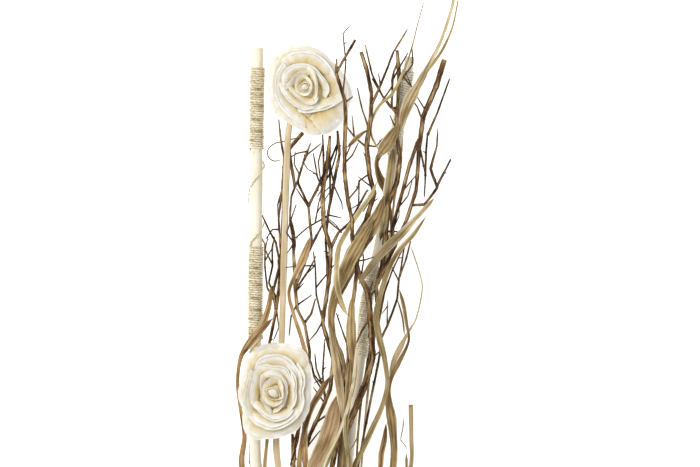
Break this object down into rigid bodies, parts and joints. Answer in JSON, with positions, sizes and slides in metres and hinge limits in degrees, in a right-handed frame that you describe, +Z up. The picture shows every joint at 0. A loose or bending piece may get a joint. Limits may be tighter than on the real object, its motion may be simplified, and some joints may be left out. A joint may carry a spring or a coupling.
{
  "type": "dried flower bouquet",
  "caption": "Tied bunch of dry twigs, leaf blades and peeled sticks with twine bands and sheet-cut white roses, lying on its back.",
  "frame": {"origin": "middle of the flat spot under the twine tie, where the bunch rests", "axes": "+Y along the stems towards the tips, +Z up towards the show side, +X to the right as seen from above"},
  "size_m": [0.2135, 0.8079, 0.0863],
  "materials": {
    "cane": "split cane, satin",
    "leaf_khaki": "dried leaf blade, khaki",
    "leaf_pale": "dried leaf blade, pale straw",
    "leaf_pink": "dried leaf blade, pinkish tan",
    "leaf_tan": "dried leaf blade, tan",
    "peeled_stick": "peeled willow stick, dry and smooth",
    "rose_sheet": "shaved pith sheet, matt white",
    "twig_bark": "dry twig bark, dull",
    "twine": "spun sisal twine, matt"
  },
  "bodies": {
    "root": {"cane_right": "cane", "cane_rose_top": "cane", "leaf_broad": "leaf_tan", "leaf_centre": "leaf_khaki", "leaf_crossing": "leaf_khaki", "leaf_curl": "leaf_pale", "leaf_far_right": "leaf_tan", "leaf_folded": "leaf_tan", "leaf_hanging": "leaf_tan", "leaf_hook": "leaf_pale", "leaf_inner": "leaf_pale", "leaf_left": "leaf_tan", "leaf_left_short": "leaf_pale", "leaf_low_broad": "leaf_pink", "leaf_low_green": "leaf_khaki", "leaf_low_pale": "leaf_pale", "leaf_right": "leaf_khaki", "leaf_slant": "leaf_khaki", "leaf_tall": "leaf_tan", "leaf_tall_thin": "leaf_tan", "leaf_thread": "leaf_tan", "leaf_wisp": "leaf_khaki", "peeled_stick_left": "peeled_stick", "peeled_stick_right": "peeled_stick", "rose_bottom": "rose_sheet", "rose_top": "rose_sheet", "stem_rose_bottom": "cane", "tie_twine": "twine", "twig_front": "twig_bark", "twig_left": "twig_bark", "twig_mid": "twig_bark", "twig_mid_left": "twig_bark", "twig_right": "twig_bark", "twig_trunk": "twig_bark", "twine_left_lower": "twine", "twine_left_upper": "twine", "twine_right_lower": "twine", "twine_right_upper": "twine"}
  },
  "joints": []
}
